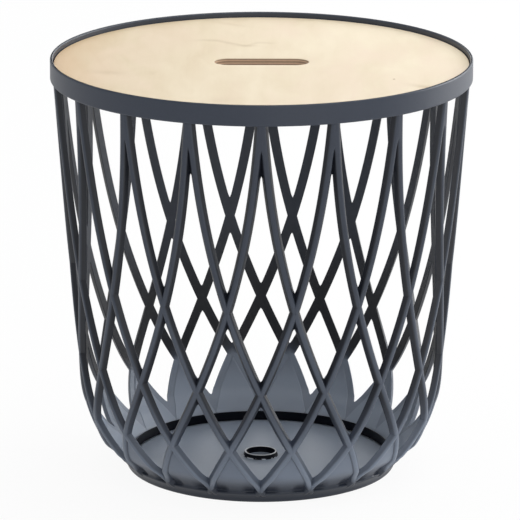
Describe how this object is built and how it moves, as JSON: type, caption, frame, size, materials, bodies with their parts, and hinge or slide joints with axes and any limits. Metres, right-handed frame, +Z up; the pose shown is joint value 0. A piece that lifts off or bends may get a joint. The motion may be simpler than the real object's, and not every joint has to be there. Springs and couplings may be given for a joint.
{
  "type": "lidded storage basket",
  "caption": "Round lattice storage basket of crossing curved ribs on a bowl-shaped base, closed by a lift-off plywood lid with a finger slot.",
  "frame": {"origin": "centre of the base, on the ground", "axes": "+Z up along the basket's axis, -Y is the pictured front, the finger slot runs along X"},
  "size_m": [0.3999, 0.4, 0.401],
  "materials": {
    "slate_plastic": "satin moulded",
    "birch_plywood": "clear matt lacquer",
    "black_rubber": "smooth"
  },
  "bodies": {
    "basket": {"rim_hoop": "slate_plastic", "base_cup": "slate_plastic", "floor_plate": "slate_plastic", "floor_gasket": "black_rubber", "drain_collar": "black_rubber", "rib_right_01": "slate_plastic", "rib_right_02": "slate_plastic", "rib_right_03": "slate_plastic", "rib_right_04": "slate_plastic", "rib_right_05": "slate_plastic", "rib_right_06": "slate_plastic", "rib_right_07": "slate_plastic", "rib_right_08": "slate_plastic", "rib_right_09": "slate_plastic", "rib_right_10": "slate_plastic", "rib_right_11": "slate_plastic", "rib_right_12": "slate_plastic", "rib_right_13": "slate_plastic", "rib_right_14": "slate_plastic", "rib_right_15": "slate_plastic", "rib_right_16": "slate_plastic", "rib_right_17": "slate_plastic", "rib_right_18": "slate_plastic", "rib_left_01": "slate_plastic", "rib_left_02": "slate_plastic", "rib_left_03": "slate_plastic", "rib_left_04": "slate_plastic", "rib_left_05": "slate_plastic", "rib_left_06": "slate_plastic", "rib_left_07": "slate_plastic", "rib_left_08": "slate_plastic", "rib_left_09": "slate_plastic", "rib_left_10": "slate_plastic", "rib_left_11": "slate_plastic", "rib_left_12": "slate_plastic", "rib_left_13": "slate_plastic", "rib_left_14": "slate_plastic", "rib_left_15": "slate_plastic", "rib_left_16": "slate_plastic", "rib_left_17": "slate_plastic", "rib_left_18": "slate_plastic"},
    "lid": {"lid_panel": "birch_plywood"}
  },
  "joints": [
    {"name": "lid_lift", "type": "slide", "parent": "basket", "child": "lid", "axis": [0, 0, 1], "range_m": [0, 0.15]}
  ]
}
